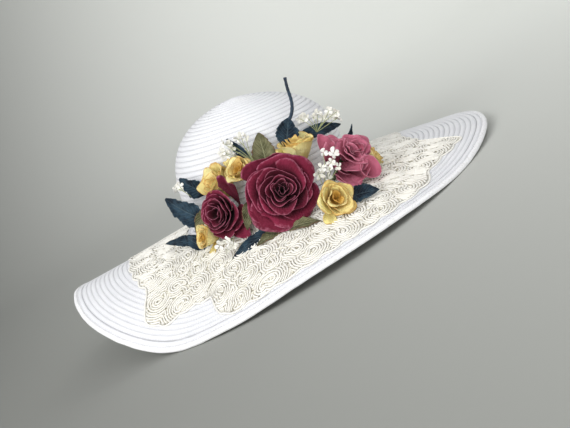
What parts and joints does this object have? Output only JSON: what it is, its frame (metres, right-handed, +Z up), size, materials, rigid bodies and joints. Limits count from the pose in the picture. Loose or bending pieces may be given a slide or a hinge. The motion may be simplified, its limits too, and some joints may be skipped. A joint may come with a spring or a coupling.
{
  "type": "race day hat",
  "caption": "Wide wavy-brimmed hat of sewn straw braid with pierced scroll lace over the brim and a cluster of cloth roses, leaves and small blossoms on one side of its rounded crown.",
  "frame": {"origin": "on the surface that the hat rests on, under the middle of its whole box", "axes": "+Z up, +Y towards the back of the head and the hat's longest way, -X towards the side with the flowers"},
  "size_m": [0.479, 0.5128, 0.1791],
  "materials": {
    "straw_braid": "sewn straw braid, matte white, rows about 6 mm apart",
    "lace_cord": "cream scroll lace of stitched cord",
    "wine_petal": "wine-red crushed velvet petals with paler rims",
    "pink_petal": "dusty pink cloth petals",
    "yellow_petal": "straw-yellow cloth petals with darker tips",
    "green_leaf": "olive cloth leaves with pressed veins",
    "navy_leaf": "navy cloth leaves with pressed veins",
    "white_blossom": "small white blossoms on pale green stems"
  },
  "bodies": {
    "root": {"crown": "straw_braid", "brim": "straw_braid", "edge_binding": "straw_braid", "lace_applique": "lace_cord", "wine_rose_large": "wine_petal", "wine_rose_small": "wine_petal", "pink_rose": "pink_petal", "yellow_rose_low_front": "yellow_petal", "yellow_rose_top": "yellow_petal", "yellow_rose_front_edge": "yellow_petal", "yellow_bud_top": "yellow_petal", "yellow_rose_back": "yellow_petal", "yellow_rose_low_back": "yellow_petal", "green_leaf_top": "green_leaf", "green_leaf_back": "green_leaf", "green_leaf_between": "green_leaf", "green_leaf_low": "green_leaf", "green_leaf_low_front": "green_leaf", "navy_leaf_back_upper": "navy_leaf", "navy_leaf_back_large": "navy_leaf", "navy_leaf_back_low": "navy_leaf", "navy_leaf_back_inner": "navy_leaf", "navy_leaf_top": "navy_leaf", "navy_leaf_top_front": "navy_leaf", "navy_leaf_low_front": "navy_leaf", "navy_leaf_low": "navy_leaf", "navy_curl_top": "navy_leaf", "navy_curl_front": "navy_leaf", "navy_stem": "navy_leaf", "white_sprig_top_back": "white_blossom", "white_sprig_front": "white_blossom", "white_sprig_low": "white_blossom", "white_sprig_top_front": "white_blossom", "white_sprig_back": "white_blossom"}
  },
  "joints": []
}
